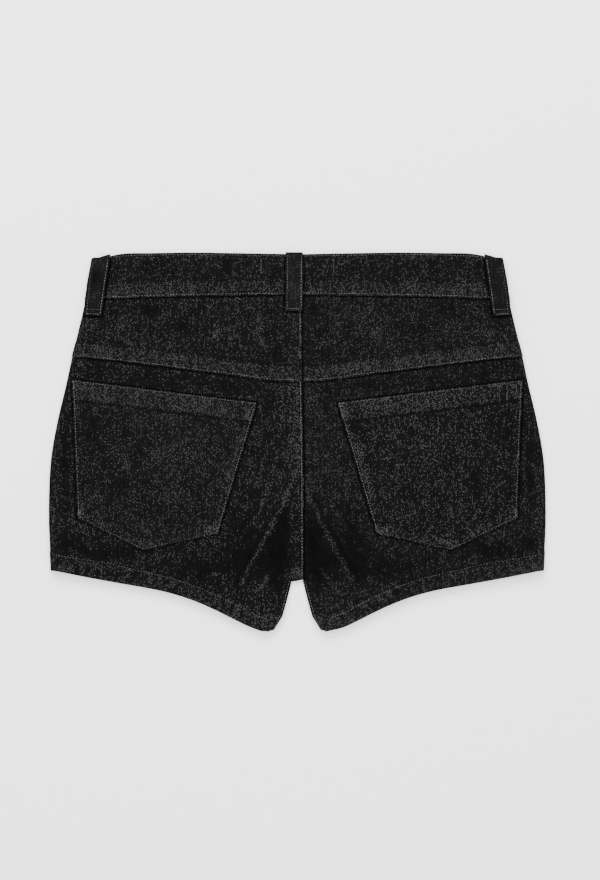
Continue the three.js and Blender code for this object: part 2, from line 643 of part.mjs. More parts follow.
// Belt loops on the front lie flat on the table, under the waistband.
const FRONT_LOOP = { x: 98, width: 14.4, above: 2.2, below: 10, rounding: 1.2 };
function frontLoop() {
  const high = frontBandTop(FRONT_LOOP.x) + FRONT_LOOP.above;
  const low = frontBandSeam(FRONT_LOOP.x) - FRONT_LOOP.below;
  const outline = new THREE.Shape();
  const { width, rounding } = FRONT_LOOP;
  const left = -width / 2;
  outline.moveTo(left + rounding, low);
  outline.lineTo(-left - rounding, low);
  outline.quadraticCurveTo(-left, low, -left, low + rounding);
  outline.lineTo(-left, high - rounding);
  outline.quadraticCurveTo(-left, high, -left - rounding, high);
  outline.lineTo(left + rounding, high);
  outline.quadraticCurveTo(left, high, left, high - rounding);
  outline.lineTo(left, low + rounding);
  outline.quadraticCurveTo(left, low, left + rounding, low);
  return new THREE.ExtrudeGeometry(outline, { depth: LOOP_THICKNESS, bevelEnabled: false, curveSegments: 3 });
}

// The tack button: a cap face down on the table and a shank up through the buttonhole.
function button() {
  const shankTop = BUTTON_LIFT + BAND_THICKNESS;
  const profile = [
    [0, 0],
    [CAP.radius - 1.2, 0],
    [CAP.radius, CAP.edge],
    [CAP.radius, CAP.height - CAP.edge],
    [CAP.radius - 0.6, CAP.height],
    [SHANK_RADIUS, CAP.height],
    [SHANK_RADIUS, shankTop - 0.1],
    [0, shankTop - 0.1],
  ];
  return new THREE.LatheGeometry(profile.map(([r, z]) => new THREE.Vector2(r, z)), 24);
}

// The zip lies inside the fly: a tape with the closed chain down its middle, and the slider at its top.
const ZIP = { x: -4, width: 24, bottom: -28, chain: 5, chainHeight: 1.2, tape: 1.0 };
function zip() {
  const topY = frontBandSeam(0) - 1.5;
  const chainEdge = ZIP.chain / ZIP.width / 2;
  const acrossChain = [0.5 - chainEdge - 0.03, 0.5 - chainEdge, 0.5 + chainEdge, 0.5 + chainEdge + 0.03];
  return {
    us: sorted([0, 0.2, 0.8, 1], acrossChain),
    vs: steps(9),
    outward: 1,
    place: (u, v) => {
      const x = ZIP.x + ZIP.width * (u - 0.5);
      const y = mix(ZIP.bottom, topY, v);
      return new THREE.Vector3(x, y, frontHeight(x, y) + CLOTH + GAP + ZIP.tape);
    },
    proud: (u) => (Math.abs(u - 0.5) <= chainEdge + 1e-6 ? ZIP.chainHeight : 0),
    depth: () => ZIP.tape,
  };
}

const denim = (colour = 0x1d1d1e) => new THREE.MeshStandardMaterial({ color: colour, roughness: 0.95, metalness: 0 });
const metal = new THREE.MeshStandardMaterial({ color: 0x3a3a3c, roughness: 0.35, metalness: 1 });
const tape = new THREE.MeshStandardMaterial({ color: 0x141415, roughness: 0.9, metalness: 0 });

const shorts = new THREE.Group();
function add(name, geometry, material = denim()) {
  const mesh = new THREE.Mesh(geometry, material);
  mesh.name = name;
  shorts.add(mesh);
  return mesh;
}

for (const [side, half] of [['left', -1], ['right', 1]]) {
  add(`back_panel_${side}`, wall(backPanel(half)));
  add(`yoke_${side}`, wall(yoke(half)));
  add(`pocket_${side}`, wall(pocket(half)));
  add(`front_panel_${side}`, wall(frontPanel(half)));
  add(`belt_loop_front_${side}`, frontLoop()).position.x = half * FRONT_LOOP.x;
}
add('waistband', waistband());
for (const loop of BACK_LOOPS) add(loop.name, wall(backLoop(loop)));
const buttonMesh = add('button', button(), metal);
buttonMesh.rotation.x = Math.PI / 2;
buttonMesh.position.set(BUTTON.x, frontBandSeam(0) + BUTTON.fromBandSeam, 0);
add('zip', wall(zip()), tape);

export default shorts;
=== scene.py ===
"""Denim shorts laid out flat on a table, with the back uppermost.

Lengths in the tables are in millimetres, in the model's frame: X across, Y towards the waist, Z up from the table.
"""
import math

import bmesh
import bpy
import numpy as np
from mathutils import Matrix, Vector
from mathutils.bvhtree import BVHTree


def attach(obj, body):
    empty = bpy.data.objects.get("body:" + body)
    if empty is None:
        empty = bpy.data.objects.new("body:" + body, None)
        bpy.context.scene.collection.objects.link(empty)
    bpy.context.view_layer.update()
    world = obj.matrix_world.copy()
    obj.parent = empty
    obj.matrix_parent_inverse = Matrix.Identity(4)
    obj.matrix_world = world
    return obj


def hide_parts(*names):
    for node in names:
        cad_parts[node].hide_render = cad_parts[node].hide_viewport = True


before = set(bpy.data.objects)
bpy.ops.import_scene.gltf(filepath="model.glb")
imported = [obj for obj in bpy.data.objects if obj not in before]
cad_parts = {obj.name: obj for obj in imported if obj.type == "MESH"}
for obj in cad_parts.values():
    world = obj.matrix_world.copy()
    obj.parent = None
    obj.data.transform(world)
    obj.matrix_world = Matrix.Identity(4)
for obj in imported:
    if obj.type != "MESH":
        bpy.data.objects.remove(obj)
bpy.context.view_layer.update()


# The camera hangs high over the table and looks straight down, with the waist at the top of the picture.
# A long lens keeps the outline as flat as it is on the cutting table.
CAMERA_HEIGHT = 2.4
CLOTH_HEIGHT = 0.006  # the middle of the back's cloth over the table
PICTURE_HEIGHT = 0.7468  # metres that the picture takes in at that height, from its top to its bottom
bpy.ops.object.camera_add(location=(0.0023, 0.0017, CAMERA_HEIGHT), rotation=(0, 0, 0))
camera = bpy.context.object
camera.name = "camera"
camera.data.sensor_fit = "VERTICAL"
camera.data.sensor_height = 24
camera.data.lens = camera.data.sensor_height * (CAMERA_HEIGHT - CLOTH_HEIGHT) / PICTURE_HEIGHT
bpy.context.scene.camera = camera


# A plain white table under a big soft light from beyond the waist, with a weaker one overhead
# and a bright room around them.
bpy.ops.object.select_all(action="DESELECT")
TABLE_DROP = 0.0002  # the table lies this far below the cloth, so that the two don't flicker
bpy.ops.mesh.primitive_plane_add(size=8, location=(0, 0, -TABLE_DROP))
table = bpy.context.object
table.name = "table"
paint = bpy.data.materials.new("table_white")
paint.use_nodes = True
paint.node_tree.nodes["Principled BSDF"].inputs["Base Color"].default_value = (0.95, 0.95, 0.95, 1)
paint.node_tree.nodes["Principled BSDF"].inputs["Roughness"].default_value = 0.8
table.data.materials.append(paint)


def soft_light(name, location, size, power):
    bpy.ops.object.light_add(type="AREA", location=location)
    light = bpy.context.object
    light.name = name
    light.data.shape = "RECTANGLE"
    light.data.size, light.data.size_y = size
    light.data.energy = power
    light.rotation_euler = (-Vector(location)).to_track_quat("-Z", "Y").to_euler()


soft_light("window", (-0.3, 1.8, 1.5), (2.2, 1.2), 122)
soft_light("ceiling", (0.0, -0.1, 2.9), (2.4, 2.4), 114)
room = bpy.data.worlds.new("room")
bpy.context.scene.world = room
room.use_nodes = True
room.node_tree.nodes["Background"].inputs["Color"].default_value = (1, 1, 1, 1)
room.node_tree.nodes["Background"].inputs["Strength"].default_value = 1.25


# Back panels: the large pieces of the seat and legs, of washed black denim, each with its leg hem turned up twice.
# The left one laps over the right one in a flat fell down the centre back. They are the first cloth to be made,
# so the denim, the way a panel is smoothed and creased, and the sewing are here too.
def only(piece):
    bpy.ops.object.select_all(action="DESELECT")
    bpy.context.view_layer.objects.active = piece
    piece.select_set(True)


class Signal:
    """A value in a finish, which plain arithmetic adds its nodes to."""

    def __init__(self, finish, socket):
        self.finish = finish
        self.socket = socket

    def with_math(self, operation, first, second):
        return self.finish.node("ShaderNodeMath", {"operation": operation}, {0: first, 1: second})

    def __add__(self, other):
        return self.with_math("ADD", self, other)

    def __sub__(self, other):
        return self.with_math("SUBTRACT", self, other)

    def __rsub__(self, other):
        return self.with_math("SUBTRACT", other, self)

    def __mul__(self, other):
        return self.with_math("MULTIPLY", self, other)

    def __truediv__(self, other):
        return self.with_math("DIVIDE", self, other)

    def also(self, output):
        """Another output of the same node."""
        return Signal(self.finish, self.socket.node.outputs[output])

    def share(self):
        """Held between 0 and 1."""
        return self.finish.node("ShaderNodeClamp", {}, {"Value": self})

    __radd__ = __add__
    __rmul__ = __mul__


class Finish:
    """A material with one Principled shader. constants are set on its own sockets."""

    def __init__(self, name, constants):
        self.material = bpy.data.materials.new(name)
        self.material.use_nodes = True
        self.tree = self.material.node_tree
        self.shader = self.tree.nodes["Principled BSDF"]
        for socket, value in constants.items():
            self.shader.inputs[socket].default_value = value

    def node(self, kind, settings=None, values=None, output=0):
        made = self.tree.nodes.new(kind)
        for key, value in (settings or {}).items():
            setattr(made, key, value)
        for key, value in (values or {}).items():
            if isinstance(value, Signal):
                self.tree.links.new(value.socket, made.inputs[key])
            else:
                made.inputs[key].default_value = value
        return Signal(self, made.outputs[output])

    def feed(self, socket, signal):
        self.tree.links.new(signal.socket, self.shader.inputs[socket])

    def speckle(self, per_metre, detail):
        """Noise that is fixed to the piece, with so many spots to the metre."""
        place = self.node("ShaderNodeTexCoord", output="Object")
        return self.node("ShaderNodeTexNoise", {}, {"Vector": place, "Scale": per_metre, "Detail": detail})

    def between(self, share, dark, light):
        """A grey or colour between two others."""
        values = {"Factor": share, 6: (*dark, 1), 7: (*light, 1)}
        return self.node("ShaderNodeMix", {"data_type": "RGBA"}, values, output=2)

    def bumps(self, height, strength, distance):
        values = {"Height": height, "Strength": strength, "Distance": distance}
        self.feed("Normal", self.node("ShaderNodeBump", {}, values))


def make_denim(name, ground=1.0, pips=1.0):
    """Black warp over grey weft: fine pips on the twill's slanting lines, slubby warp yarns and washed-out patches.

    Three attributes of the piece guide it. lay is a place on the cloth as if it lay flat, in millimetres. The wear
    and shading is 0.5 on plain cloth, more on raised seams and less in hollows: wear on the seams, with painted
    highlight on the crests and painted shade in the hollows. The last is the distance to the piece that laps over it,
    which sets a painted shadow along that edge.
    """
    cloth = Finish(name, {"Specular IOR Level": 0.045})
    lay = cloth.node("ShaderNodeAttribute", {"attribute_name": "lay"}, output="Vector")
    apart = cloth.node("ShaderNodeSeparateXYZ", {}, {"Vector": lay})
    u = apart
    v = apart.also("Y")
    seed = apart.also("Z")
    wear_and_shade = cloth.node("ShaderNodeAttribute", {"attribute_name": "wear_and_shade"}, output="Fac") - 0.5
    shadow_distance = cloth.node("ShaderNodeAttribute", {"attribute_name": "shadow_distance"}, output="Fac")

    def noise(first, second, detail):
        vector = cloth.node("ShaderNodeCombineXYZ", {}, {"X": first, "Y": second, "Z": seed})
        return cloth.node("ShaderNodeTexNoise", {}, {"Vector": vector, "Scale": 1.0, "Detail": detail}) - 0.5

    def whole(value):
        return cloth.node("ShaderNodeMath", {"operation": "FLOOR"}, {0: value})

    patch = noise(u / 11, v / 13, 3.0)
    blot = noise(u / 3.6, v / 4.4, 1.0)
    slub = noise(u / 1.1, v / 26, 2.0)

    # Each pip is where the weft passes over a warp yarn, one step higher on each yarn than on the one beside it.
    yarn_width, pip_rise, pip_repeat = 0.76, 1.15, 1.55
    pip_reach, pip_squash = 0.43, 1.45
    column = whole(u / yarn_width)
    climb = (v - column * pip_rise) / pip_repeat
    row = whole(climb)
    crossing = cloth.node("ShaderNodeCombineXYZ", {}, {"X": column, "Y": row, "Z": seed})
    chance = cloth.node("ShaderNodeTexWhiteNoise", {"noise_dimensions": "3D"}, {"Vector": crossing})
    strength = cloth.node("ShaderNodeSeparateColor", {}, {"Color": chance.also("Color")})
    from_middle = cloth.node(
        "ShaderNodeCombineXYZ", {}, {"X": u / yarn_width - column - 0.5, "Y": (climb - row - 0.5) * pip_squash})
    distance = cloth.node("ShaderNodeVectorMath", {"operation": "LENGTH"}, {0: from_middle}, output="Value")
    dot = ((pip_reach - distance) * 9).share()
    # Pips crowd on worn cloth and on painted highlight, and thin out in painted shade.
    crowd = wear_and_shade * 0.8 + patch * 0.38 + blot * 0.3 + slub * 0.6 + 0.26
    pip = dot * ((crowd - chance) * 6).share() * (strength * strength * strength * 0.9 + 0.14)

    # Close under the edge of a piece that laps over it, the cloth is darkened: a painted shadow.
    edge_shadow = 1 - (1.25 - shadow_distance / 2.0).share() * 0.95
    # The ground's lightness: random fading and slubs, with the wear and the painted highlight and shade of the piece.
    tone_and_shade = (0.5 + wear_and_shade * 0.6 + patch * 0.5 + slub * 0.5).share()
    shade = (tone_and_shade * (0.0044 * ground) + pip * (0.33 * pips)) * edge_shadow
    cloth.feed("Base Color", cloth.between(shade, (0, 0, 0), (1.0, 0.985, 0.985)))
    cloth.feed("Roughness", 0.95 - pip * 0.2)
    cloth.bumps(dot * 0.5 + slub * 0.9 + blot * 0.25, 0.3, 0.0003)
    return cloth.material


SHARP_EDGE = math.radians(50)  # two faces that meet at more than this are a cut edge of the cloth


def pair_triangles(piece):
    """Takes out the diagonal of each four-sided cell of the cloth, the squarest cells first."""
    bm = bmesh.from_edit_mesh(piece.data)

    def off_square(edge):
        first, second = edge.link_faces
        start, end = edge.verts
        corners = [start.co]
        corners.append(next(v.co for v in first.verts if v not in edge.verts))
        corners.append(end.co)
        corners.append(next(v.co for v in second.verts if v not in edge.verts))
        worst = 0
        for i, corner in enumerate(corners):
            angle = (corners[i - 1] - corner).angle(corners[(i + 1) % 4] - corner)
            worst = max(worst, abs(angle - math.pi / 2))
        return worst

    flat_enough = [e for e in bm.edges if len(e.link_faces) == 2 and e.calc_face_angle() < SHARP_EDGE]
    options = {face: [] for face in bm.faces}
    for edge in flat_enough:
        for face in edge.link_faces:
            options[face].append(edge)
    free = set(bm.faces)
    diagonals = []

    def open_edges(face):
        return [e for e in options[face] if all(f in free for f in e.link_faces)]

    for edge in sorted(flat_enough, key=off_square):
        waiting = [edge]
        while waiting:
            current = waiting.pop()
            if not all(face in free for face in current.link_faces):
                continue
            diagonals.append(current)
            free.difference_update(current.link_faces)
            for face in current.link_faces:
                for side in face.edges:
                    for beyond in side.link_faces:
                        left = open_edges(beyond) if beyond in free else []
                        if len(left) == 1:
                            waiting.append(left[0])
    bpy.ops.mesh.select_all(action="DESELECT")
    for edge in diagonals:
        edge.select_set(True)
    bmesh.update_edit_mesh(piece.data)
    bpy.ops.mesh.dissolve_edges(use_verts=False)


THICKEST_WALL = 0.0027  # metres
CREASE_ANGLE, WALL_EDGE_ANGLE = math.radians(55), math.radians(17)


def hold_edges(piece):
    """Keeps the cut edges and corners of the cloth sharp when it is smoothed.

    An edge no longer than the wall is thick belongs to the rim, so it is held at a smaller angle.
    """
    bm = bmesh.from_edit_mesh(piece.data)
    bpy.ops.mesh.select_all(action="DESELECT")
    for edge in bm.edges:
        angle = edge.calc_face_angle(0)
        on_rim = edge.calc_length() < THICKEST_WALL and angle > WALL_EDGE_ANGLE
        edge.select_set(angle > CREASE_ANGLE or on_rim)
    bmesh.update_edit_mesh(piece.data)
    bpy.ops.transform.edge_crease(value=1)


def cloth_from(node, name, levels):
    """A smooth, finely divided copy of a node's wall of cloth."""
    piece = bpy.data.objects.new(name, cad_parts[node].data.copy())
    bpy.context.scene.collection.objects.link(piece)
    only(piece)
    piece.data.materials.clear()
    bpy.ops.mesh.customdata_custom_splitnormals_clear()
    bpy.ops.object.mode_set(mode="EDIT")
    bpy.ops.mesh.select_mode(type="EDGE")
    bpy.ops.mesh.select_all(action="SELECT")
    bpy.ops.mesh.remove_doubles(threshold=2e-6)  # the node's triangles are loose
    pair_triangles(piece)
    hold_edges(piece)
    bpy.ops.object.mode_set(mode="OBJECT")
    smoother = piece.modifiers.new("smooth", "SUBSURF")
    smoother.levels = smoother.render_levels = levels
    bpy.ops.object.modifier_apply(modifier="smooth")
    bpy.ops.object.shade_smooth_by_angle(angle=SHARP_EDGE)
    return piece


def vertices_of(piece):
    points = np.empty(len(piece.data.vertices) * 3, np.float32)
    piece.data.vertices.foreach_get("co", points)
    return points.reshape(-1, 3).astype(float) * 1000


def set_vertices(piece, points):
    piece.data.vertices.foreach_set("co", (points / 1000).astype(np.float32).ravel())
    piece.data.update()


def fade(low, high, value):
    """0 below low and 1 above high, smoothly between."""
    share = np.clip((value - low) / (high - low), 0, 1)
    return share * share * (3 - 2 * share)


def from_line(line, x, y):
    """Distance of each point from a line of points, and how far along the line it is. Positive is to its left."""
    best = np.full(x.shape, 1e9)
    along = np.zeros(x.shape)
    side = np.ones(x.shape)
    walked = 0
    for (x0, y0), (x1, y1) in zip(line, line[1:]):
        length = math.hypot(x1 - x0, y1 - y0)
        ux, uy = (x1 - x0) / length, (y1 - y0) / length
        t = np.clip((x - x0) * ux + (y - y0) * uy, 0, length)
        distance = np.hypot(x - x0 - t * ux, y - y0 - t * uy)
        nearer = distance < best
        best = np.where(nearer, distance, best)
        along = np.where(nearer, walked + t, along)
        side = np.where(nearer, np.sign(ux * (y - y0) - uy * (x - x0)), side)
        walked += length
    return best * side, along


def uneven(along, spacing, seed):
    """A wave with no two alike, for puckers and gathers."""
    drift = 0.8 * np.sin(along / (spacing * 3.1) + seed) + 0.5 * np.sin(along / (spacing * 1.7) + 2.3 * seed)
    strength = 0.65 + 0.35 * np.sin(along / (spacing * 2.3) + 1.7 * seed)
    return strength * np.sin(2 * math.pi * along / spacing + drift)


def mirrored(line, half):
    """The same line on the half that is asked for, still running outwards from the centre."""
    return [(x * half, y) for x, y in line]


PULLS = (  # drag lines that fan out from the crotch: crest by crest, with its height, half width, and how much lighter or darker it is coloured, which is painted highlight on a crest and painted shade in a hollow
    {"line": [(5.5, -32), (9, -46), (15, -58), (23.4, -74), (31, -88), (37.6, -101), (44, -113), (49.5, -125)],
     "height": 0.6, "width": 2.4, "crease_shading": 0.3},
    {"line": [(12, -42), (20, -60), (30, -78), (38, -92), (46, -108), (54, -122)],
     "height": -0.2, "width": 2.6, "crease_shading": -0.1},
    {"line": [(19, -28), (25, -42), (31, -56), (40, -71), (52, -86)], "height": 0.25, "width": 2.2, "crease_shading": 0.1},
    {"line": [(8, -62), (11, -80), (13, -98), (14, -116), (17, -134)], "height": -0.4, "width": 5.0, "crease_shading": -0.1},
    {"line": [(17, -104), (24, -113), (31, -123), (38, -131)], "height": 0.3, "width": 2.8, "crease_shading": 0.24},
    {"line": [(58, -98), (66, -110), (76, -118)], "height": 0.25, "width": 3.0, "crease_shading": 0.1},
    {"line": [(12, -4), (19, -18), (22, -34)], "height": 0.2, "width": 3.0, "crease_shading": 0.12},
    {"line": [(20, 40), (26, 24), (26, 8), (23, -8)], "height": -0.2, "width": 3.5, "crease_shading": -0.08},
    {"line": [(63.5, 98.5), (68, 92), (74, 83.6)], "height": 0.25, "width": 3.6, "crease_shading": 0.3},
    {"line": [(27, 116), (34, 104), (32, 88), (22, 76)], "height": 0.18, "width": 4.0, "crease_shading": 0.14},
    {"line": [(48, 112), (53, 98), (47, 82)], "height": 0.15, "width": 4.5, "crease_shading": 0.05},
    {"line": [(47.5, 12), (52, -8), (60, -34), (66, -52)], "height": 0.18, "width": 4.2, "crease_shading": 0.2},
)
SEAT_SWELLS = (  # slack cloth over the back: place, half sizes across and up, and height
    {"at": (70, 92), "size": (22, 9), "height": 0.35},
    {"at": (124, 112), "size": (12, 8), "height": -0.35},
    {"at": (150, 96), "size": (14, 9), "height": 0.25},
    {"at": (100, 80), "size": (18, 5), "height": -0.2},
    {"at": (30, 86), "size": (7, 12), "height": 0.3},
    {"at": (43, 98), "size": (5, 12), "height": -0.25},
    {"at": (196, -10), "size": (4, 40), "height": -0.3},
    {"at": (150, -100), "size": (30, 6), "height": -0.35},
    {"at": (90, -96), "size": (16, 7), "height": -0.3},
    {"at": (57, -20), "size": (2.2, 24), "height": 0.22},
    {"at": (100, -30), "size": (20, 30), "height": 0.3},
    {"at": (150, 5), "size": (16, 22), "height": -0.25},
)
SEAT_FADE_AND_SHADE = (  # lighter and darker places on the back: the darker ones are painted shade in its hollows and under the yoke's edge, the lighter ones worn places: place, half sizes across and up, and amount
    {"at": (17, -96), "size": (13, 24), "amount": -0.4},
    {"at": (13, -66), "size": (6, 14), "amount": -0.2},
    {"at": (45, -84), "size": (14, 26), "amount": -0.26},
    {"at": (72, -108), "size": (40, 12), "amount": -0.24},
    {"at": (160, -93), "size": (26, 7), "amount": -0.27},
    {"at": (195, -86), "size": (8, 9), "amount": -0.2},
    {"at": (197, -20), "size": (5, 48), "amount": -0.17},
    {"at": (60, 48), "size": (26, 6), "amount": -0.14},
    {"at": (115, 55), "size": (32, 6), "amount": -0.15},
    {"at": (165, 61), "size": (24, 5.5), "amount": -0.14},
    {"at": (126, 113), "size": (10, 5), "amount": -0.25},
    {"at": (20, 92), "size": (7, 6), "amount": -0.2},
    {"at": (15, 110), "size": (8, 6), "amount": -0.2},
    {"at": (20, 74), "size": (8, 5), "amount": -0.16},
    {"at": (100, 98), "size": (18, 12), "amount": -0.12},
    {"at": (150, 88), "size": (20, 8), "amount": 0.08},
    {"at": (3, -20), "size": (5, 20), "amount": 0.1},
    {"at": (2, -112), "size": (6, 4), "amount": 0.5},
    {"at": (4, 54), "size": (12, 4), "amount": 0.06},
    {"at": (30, -152), "size": (12, 6), "amount": 0.16},
    {"at": (203, -102), "size": (8, 6), "amount": 0.12},
    {"at": (206, -60), "size": (5, 22), "amount": 0.1},
)


def back_creases(x, y):
    """Height of the creases that all the cloth of the back shares. The two halves are alike but not the same."""
    m = np.abs(x)
    left = x < 0
    height = np.zeros(x.shape)
    for number, pull in enumerate(PULLS):
        for half in (-1, 1):
            shift = 0.0 if half < 0 else 1.1 * math.sin(number * 2.1)
            line = [(px + shift, py - shift) for px, py in pull["line"]]
            distance, along = from_line(line, m, y)
            length = math.dist(line[0], line[-1])
            ends = fade(0, 9, along) * (1 - fade(length - 9, length + 1, along))
            bell = pull["height"] * np.exp(-((distance / pull["width"]) ** 2)) * ends
            strength = 1.0 if half < 0 else 1 - 0.15 * math.cos(number)
            height += np.where(left == (half < 0), bell * strength, 0)
    for number, swell in enumerate(SEAT_SWELLS):
        cx, cy = swell["at"]
        wide, tall = swell["size"]
        nudge = np.where(left, 0.0, 3 * math.sin(number * 1.3))
        bell = np.exp(-(((m - cx - nudge) / wide) ** 2) - ((y - cy + nudge) / tall) ** 2)
        height += swell["height"] * bell
    height += 0.10 * np.sin(x / 19 + y / 31) * np.sin(y / 23 - x / 47 + 1.1)
    return height


def fading_and_shading(places, x, y):
    """How much lighter or darker the cloth is at each point, from a table of places and the drag lines. On the drag
    lines it is painted highlight on the crests and painted shade in the hollows.
    """
    m = np.abs(x)
    amount = np.zeros(x.shape)
    for place in places:
        cx, cy = place["at"]
        wide, tall = place["size"]
        amount += place["amount"] * np.exp(-(((m - cx) / wide) ** 2) - ((y - cy) / tall) ** 2)
    for number, pull in enumerate(PULLS):
        distance, along = from_line(pull["line"], m, y)
        length = math.dist(pull["line"][0], pull["line"][-1])
        ends = fade(0, 8, along) * (1 - fade(length - 8, length, along))
        unlike = np.where(x < 0, 1.0, 0.85 + 0.2 * math.sin(number * 1.9))
        amount += pull["crease_shading"] * np.exp(-((distance / (0.8 * pull["width"])) ** 2)) * ends * unlike
    return amount


FOLD_FADES = (1.6, 3.4)  # the creases die out between these heights, where the cloth rounds the side folds


def raise_cloth(piece, height_at, all_round=False):
    """Moves the cloth up and down by height_at(x, y), less and less as it rounds the side folds."""
    points = vertices_of(piece)
    x, y, z = points.T
    on_top = 1.0 if all_round else fade(*FOLD_FADES, z)
    points[:, 2] += height_at(x, y) * on_top
    set_vertices(piece, points)


def store(piece, name, kind, field, values):
    attribute = piece.data.attributes.new(name, kind, "POINT")
    attribute.data.foreach_set(field, values.astype(np.float32).ravel())


SIDE_EDGE = [  # the outline of the side, as (Y, X)
    (-112, 208.6), (-104, 210.8), (-69.6, 211.3), (-46.8, 211.2), (-13.4, 209.4), (18.4, 203.8),
    (50.3, 196.2), (94.4, 186.2), (119.4, 180.5), (130.8, 179.0), (154.6, 175.4),
]
FOLD_RADIUS = [(-110, 3.0), (48, 3.1), (104, 4.7)]  # of the side fold, as (Y, radius)


def lay_flat(piece, seed, front_below=4.4):
    """Stores each point's place on the cloth as if the side folds were opened out, the front beside the back.

    Cloth lower than front_below belongs to the front.
    """
    x, y, z = vertices_of(piece).T
    edge = np.interp(y, *zip(*SIDE_EDGE))
    radius = np.interp(y, *zip(*FOLD_RADIUS))
    m = np.abs(x)
    beyond = m - (edge - radius)
    turn = np.arctan2(np.maximum(beyond, 0), z - radius)
    opened = np.where(beyond > 0, edge - radius + radius * turn, m)
    opened = np.where((beyond <= 0) & (z < front_below), 2 * edge + 1.15 * radius - m, opened)
    u = np.sign(x) * opened
    place = np.stack([u, y, np.full_like(u, seed)], 1)
    store(piece, "lay", "FLOAT_VECTOR", "vector", place)


IN_THE_OPEN = 50.0  # further than this from any edge, nothing shades the cloth


def paint_wear_and_shade(piece, strips=(), places=(), covers=()):
    """Stores how worn the cloth is, with painted highlight and shade mixed in, and how far each point is from what
    laps over it.

    Crests get a painted highlight and hollows a painted shade. A strip is (line, from, to, amount, pucker): the part
    between two distances to the left of a line, with more and less along it where the seam is puckered. covers are
    the edge lines of the pieces on top, each with how far it is lifted clear; close to them the cloth gets a painted
    shadow.
    """
    x, y, z = vertices_of(piece).T
    count = len(x)
    ends = np.empty(len(piece.data.edges) * 2, np.int32)
    piece.data.edges.foreach_get("vertices", ends)
    ends = ends.reshape(-1, 2)
    both = np.concatenate([ends, ends[:, ::-1]])
    degree = np.bincount(both[:, 0], minlength=count)
    level = z.copy()
    for _ in range(10):
        level = np.bincount(both[:, 0], weights=level[both[:, 1]], minlength=count) / degree
    # Painted highlight on the crests and painted shade in the hollows, from the height over the smoothed cloth.
    wear_and_shade = 0.5 + np.clip((z - level) * 0.6, -0.12, 0.1)
    wear_and_shade += fading_and_shading(places, x, y)
    for line, near, far, amount, pucker in strips:
        distance, along = from_line(line, x, y)
        amount = amount + pucker * uneven(along + 0.35 * distance, 8.6, 1.3 + far)
        wear_and_shade += amount * fade(near - 0.8, near + 0.8, distance) * (1 - fade(far - 1.0, far + 1.0, distance))
    store(piece, "wear_and_shade", "FLOAT", "value", np.clip(wear_and_shade, -0.3, 1.4))
    # A painted shadow darkens the cloth close to the edges of the pieces on top; this is how far away they are.
    shadow_distance = np.full(count, IN_THE_OPEN)
    for line, lifted in covers:
        shadow_distance = np.minimum(shadow_distance, np.abs(from_line(line, x, y)[0]) + lifted)
    store(piece, "shadow_distance", "FLOAT", "value", np.where(z > 1.5, shadow_distance, IN_THE_OPEN))


bpy.ops.object.select_all(action="DESELECT")
bpy.ops.mesh.primitive_uv_sphere_add(segments=6, ring_count=4, radius=0.5, location=(0, 0, 0))
one_stitch = bpy.context.object
STITCH_SHAPE = np.array([v.co for v in one_stitch.data.vertices])
STITCH_FACES = [list(p.vertices) for p in one_stitch.data.polygons]
bpy.data.objects.remove(one_stitch)

thread = Finish("thread", {"Roughness": 0.7, "Specular IOR Level": 0.2})
twist = thread.speckle(900.0, 2.0)
fading = thread.speckle(210.0, 3.0)
faded = (twist * 0.5 + fading * 2.2 - 0.95).share()
thread.feed("Base Color", thread.between(faded, (0.02, 0.02, 0.021), (0.17, 0.17, 0.173)))
thread.bumps(twist, 0.4, 0.0002)
THREAD = thread.material


def walk(line, pitch):
    """Points at even steps along a line, with the direction at each."""
    spots = []
    left = pitch / 2
    for (x0, y0), (x1, y1) in zip(line, line[1:]):
        length = math.hypot(x1 - x0, y1 - y0)
        while left < length:
            t = left / length
            spots.append((x0 + (x1 - x0) * t, y0 + (y1 - y0) * t, (x1 - x0) / length, (y1 - y0) / length))
            left += pitch
        left -= length
    return spots


STITCH_HEIGHT, STITCH_RAISE = 0.8, 0.12  # parts of a stitch's width: its height, and how far its middle stands out


def sew(name, cloth, rows, below=False):
    """Rows of stitches on a piece of cloth. A row is (line, pitch, stitch length, width)."""
    surface = BVHTree.FromObject(cloth, bpy.context.evaluated_depsgraph_get())
    shapes, faces = [], []
    for line, pitch, length, width in rows:
        for x, y, dx, dy in walk(line, pitch):
            start = Vector((x / 1000, y / 1000, -0.05 if below else 0.05))
            hit, normal, _, _ = surface.ray_cast(start, Vector((0, 0, 1 if below else -1)))
            if hit is None:
                continue
            forward = Vector((dx, dy, 0))
            forward = (forward - forward.dot(normal) * normal).normalized()
            sideways = normal.cross(forward)
            turn = np.array([forward, sideways, normal])
            local = STITCH_SHAPE * (length / 1000, width / 1000, width * STITCH_HEIGHT / 1000)
            centre = np.array(hit + normal * (width * STITCH_RAISE / 1000))
            base = len(shapes) * len(STITCH_SHAPE)
            shapes.append(local @ turn + centre)
            faces.extend([base + i for i in face] for face in STITCH_FACES)
    mesh = bpy.data.meshes.new(name)
    mesh.from_pydata(np.concatenate(shapes).tolist(), [], faces)
    stitches = bpy.data.objects.new(name, mesh)
    bpy.context.scene.collection.objects.link(stitches)
    only(stitches)
    bpy.ops.object.shade_smooth()
    mesh.materials.append(THREAD)
    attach(stitches, "root")
    return stitches


